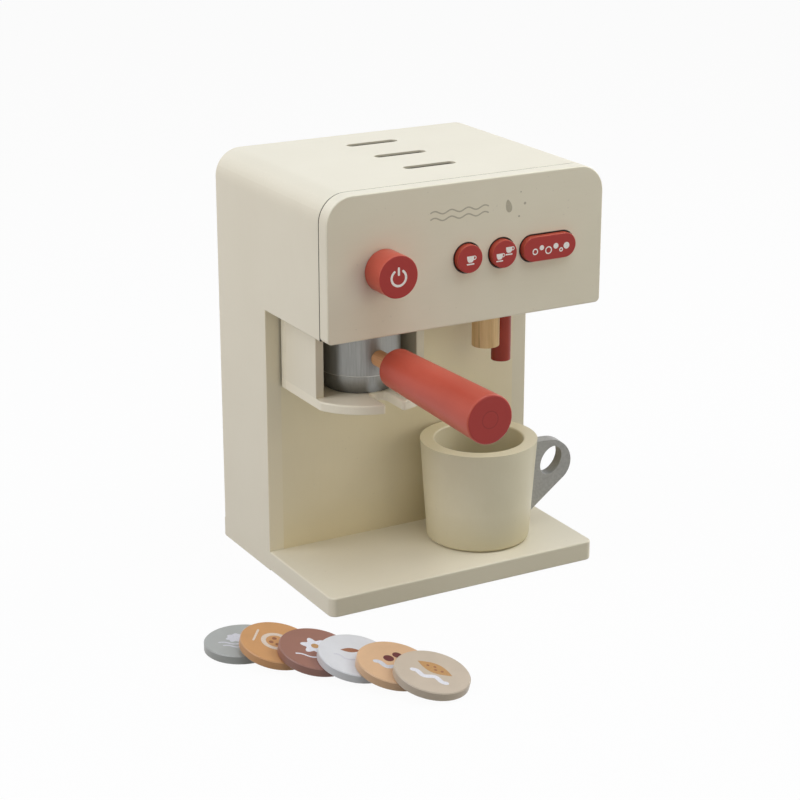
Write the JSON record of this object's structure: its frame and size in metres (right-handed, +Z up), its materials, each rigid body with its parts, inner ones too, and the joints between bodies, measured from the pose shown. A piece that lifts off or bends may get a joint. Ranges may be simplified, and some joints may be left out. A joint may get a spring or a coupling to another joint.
{
  "type": "toy coffee maker",
  "caption": "Wooden play espresso machine with a turning knob, push buttons, a portafilter in its bay, a mug and loose flavour discs.",
  "frame": {"origin": "centre of the base board's underside", "axes": "+X to the machine's right as seen from the front, +Y to its back, +Z up"},
  "size_m": [0.2669, 0.2692, 0.2465],
  "materials": {
    "cream_paint": "satin paint",
    "panel_paint": "satin paint",
    "red_paint": "satin paint",
    "grey_paint": "satin paint, brushed",
    "handle_grey_paint": "satin paint",
    "mug_paint": "satin paint",
    "bare_wood": "oiled beech",
    "inner_board": "raw plywood",
    "spring_steel": "bright wire",
    "disc_grey_paint": "printed satin paint",
    "disc_tan_paint": "printed satin paint",
    "disc_brown_paint": "printed satin paint",
    "disc_white_paint": "printed satin paint",
    "disc_peach_paint": "printed satin paint",
    "disc_beige_paint": "printed satin paint"
  },
  "bodies": {
    "machine": {"base_plate": "cream_paint", "side_board_left": "cream_paint", "side_board_right": "cream_paint", "top_board": "cream_paint", "rear_board": "cream_paint", "serving_wall": "cream_paint", "head_floor": "cream_paint", "front_panel": "panel_paint", "button_guide_board": "inner_board", "bay_back": "cream_paint", "bay_wall_left": "cream_paint", "bay_wall_right": "cream_paint", "bay_plate": "cream_paint", "coffee_nozzle": "bare_wood", "steam_wand": "red_paint", "spring_one_cup": "spring_steel", "spring_two_cup": "spring_steel", "spring_milk_foam": "spring_steel"},
    "knob": {"power_knob": "red_paint", "knob_shaft": "bare_wood", "knob_collar": "bare_wood"},
    "one_cup_button": {"button_one_cup": "red_paint"},
    "two_cup_button": {"button_two_cup": "red_paint"},
    "milk_foam_button": {"button_milk_foam": "red_paint"},
    "portafilter": {"filter_basket": "grey_paint", "handle_pin": "bare_wood", "portafilter_handle": "red_paint"},
    "mug": {"mug_cup": "mug_paint", "mug_handle": "handle_grey_paint"},
    "grey_disc": {"disc_grey": "disc_grey_paint"},
    "tan_disc": {"disc_tan": "disc_tan_paint"},
    "brown_disc": {"disc_brown": "disc_brown_paint"},
    "white_disc": {"disc_white": "disc_white_paint"},
    "peach_disc": {"disc_peach": "disc_peach_paint"},
    "beige_disc": {"disc_beige": "disc_beige_paint"}
  },
  "joints": [
    {"name": "knob_turn", "type": "hinge", "parent": "machine", "child": "knob", "pos_m": [-0.0547, -0.0713, 0.2022], "axis": [0, 1, 0], "continuous": true},
    {"name": "one_cup_press", "type": "slide", "parent": "machine", "child": "one_cup_button", "axis": [0, 1, 0], "range_m": [0, 0.003], "stiffness_N_per_m": 150, "springref_m": -0.002, "deforming": ["spring_one_cup"]},
    {"name": "two_cup_press", "type": "slide", "parent": "machine", "child": "two_cup_button", "axis": [0, 1, 0], "range_m": [0, 0.003], "stiffness_N_per_m": 150, "springref_m": -0.002, "deforming": ["spring_two_cup"]},
    {"name": "milk_foam_press", "type": "slide", "parent": "machine", "child": "milk_foam_button", "axis": [0, 1, 0], "range_m": [0, 0.003], "stiffness_N_per_m": 150, "springref_m": -0.002, "deforming": ["spring_milk_foam"]},
    {"name": "portafilter_draw", "type": "slide", "parent": "machine", "child": "portafilter", "axis": [0, -1, 0], "range_m": [0, 0.1]},
    {"name": "mug_take", "type": "slide", "parent": "machine", "child": "mug", "axis": [0, -1, 0], "range_m": [0, 0.12]},
    {"name": "grey_disc_lift", "type": "slide", "parent": "machine", "child": "grey_disc", "axis": [0, 0, 1], "range_m": [0, 0.06]},
    {"name": "tan_disc_lift", "type": "slide", "parent": "grey_disc", "child": "tan_disc", "axis": [0, 0, 1], "range_m": [0, 0.06]},
    {"name": "brown_disc_lift", "type": "slide", "parent": "tan_disc", "child": "brown_disc", "axis": [0, 0, 1], "range_m": [0, 0.06]},
    {"name": "white_disc_lift", "type": "slide", "parent": "brown_disc", "child": "white_disc", "axis": [0, 0, 1], "range_m": [0, 0.06]},
    {"name": "peach_disc_lift", "type": "slide", "parent": "white_disc", "child": "peach_disc", "axis": [0, 0, 1], "range_m": [0, 0.06]},
    {"name": "beige_disc_lift", "type": "slide", "parent": "peach_disc", "child": "beige_disc", "axis": [0, 0, 1], "range_m": [0, 0.06]}
  ]
}
